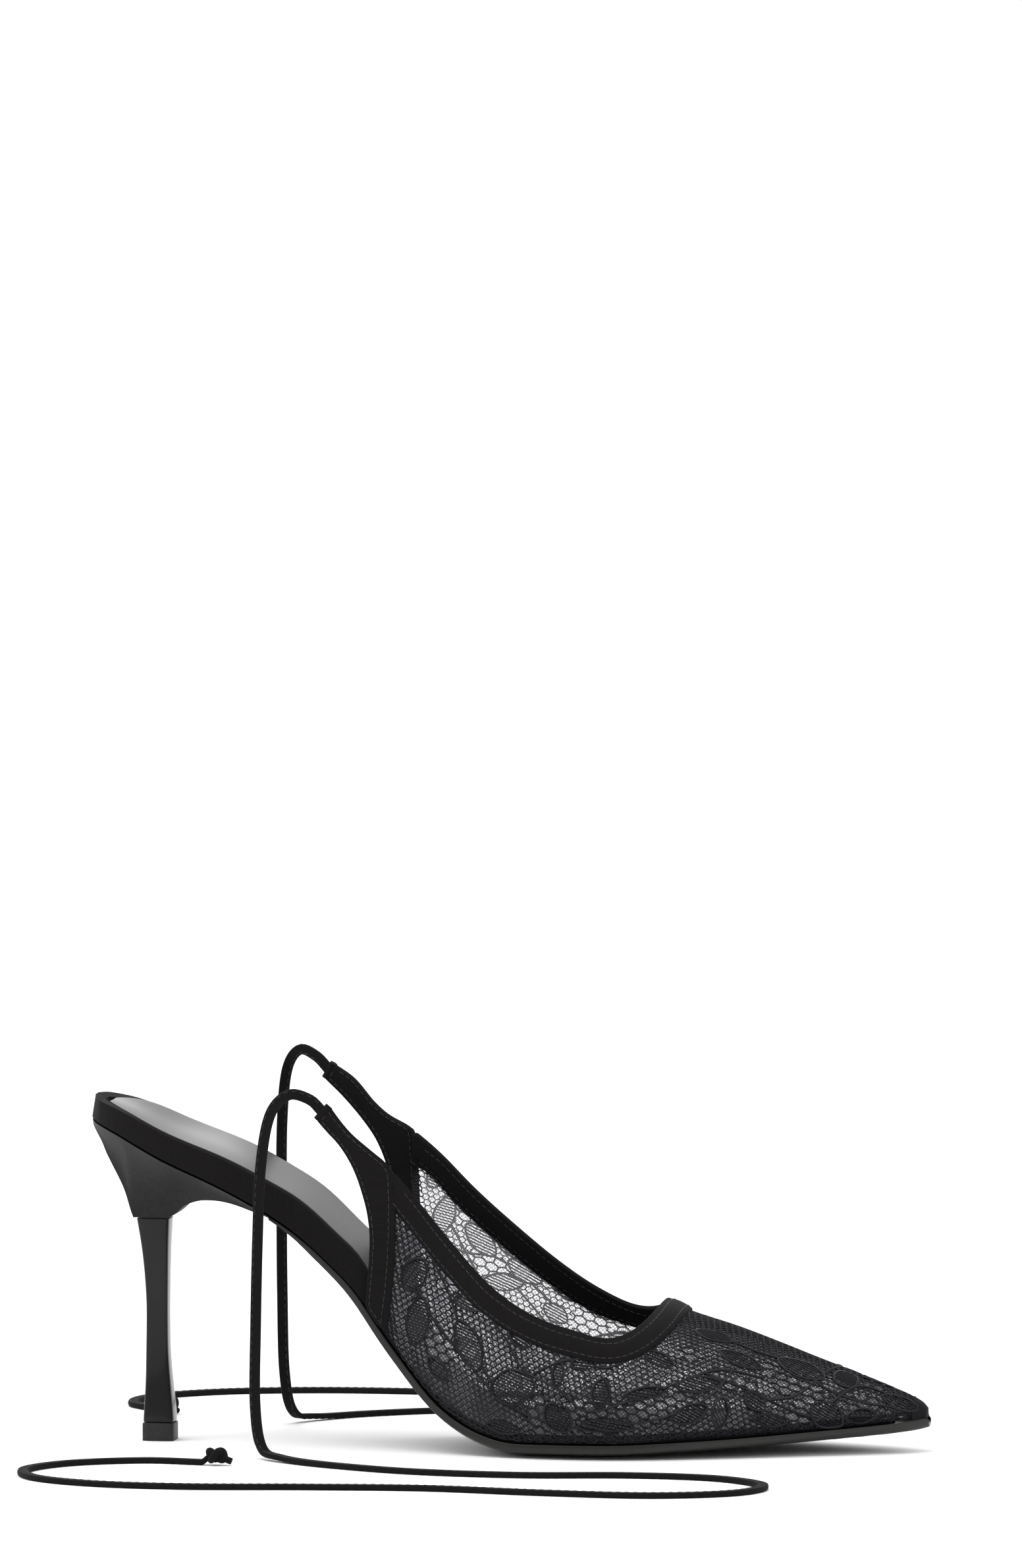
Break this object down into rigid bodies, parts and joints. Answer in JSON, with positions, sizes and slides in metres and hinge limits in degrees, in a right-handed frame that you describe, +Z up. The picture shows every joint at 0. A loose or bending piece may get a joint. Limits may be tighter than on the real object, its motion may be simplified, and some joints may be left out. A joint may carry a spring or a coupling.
{
  "type": "lace up heel",
  "caption": "Pointed slingback pump with a floral lace upper, cloth bands, two free ankle ties and a slim lacquered stiletto heel.",
  "frame": {"origin": "middle of the shoe's length and width, at the floor it stands on", "axes": "+X from heel to toe, +Y to the shoe's inner side, +Z up"},
  "size_m": [0.2403, 0.2571, 0.1088],
  "materials": {
    "faille": "matt ribbed black cloth",
    "lace": "black floral lace over fine tulle",
    "cup_cover": "matt dark grey cover",
    "stem_lacquer": "glossy black lacquer",
    "lift_rubber": "satin dark grey",
    "sole_resin": "smooth dark brown, half glossy edge",
    "sock_leather": "glossy grey"
  },
  "bodies": {
    "root": {"outsole": "sole_resin", "footbed": "faille", "sock": "sock_leather", "heel_cup": "cup_cover", "heel_stem": "stem_lacquer", "top_lift": "lift_rubber", "upper": "lace", "throat_binding": "faille", "quarter_band_left": "faille", "quarter_band_right": "faille", "tie_left": "faille", "tie_right": "faille", "tie_knot_left": "faille", "tie_knot_right": "faille"}
  },
  "joints": []
}
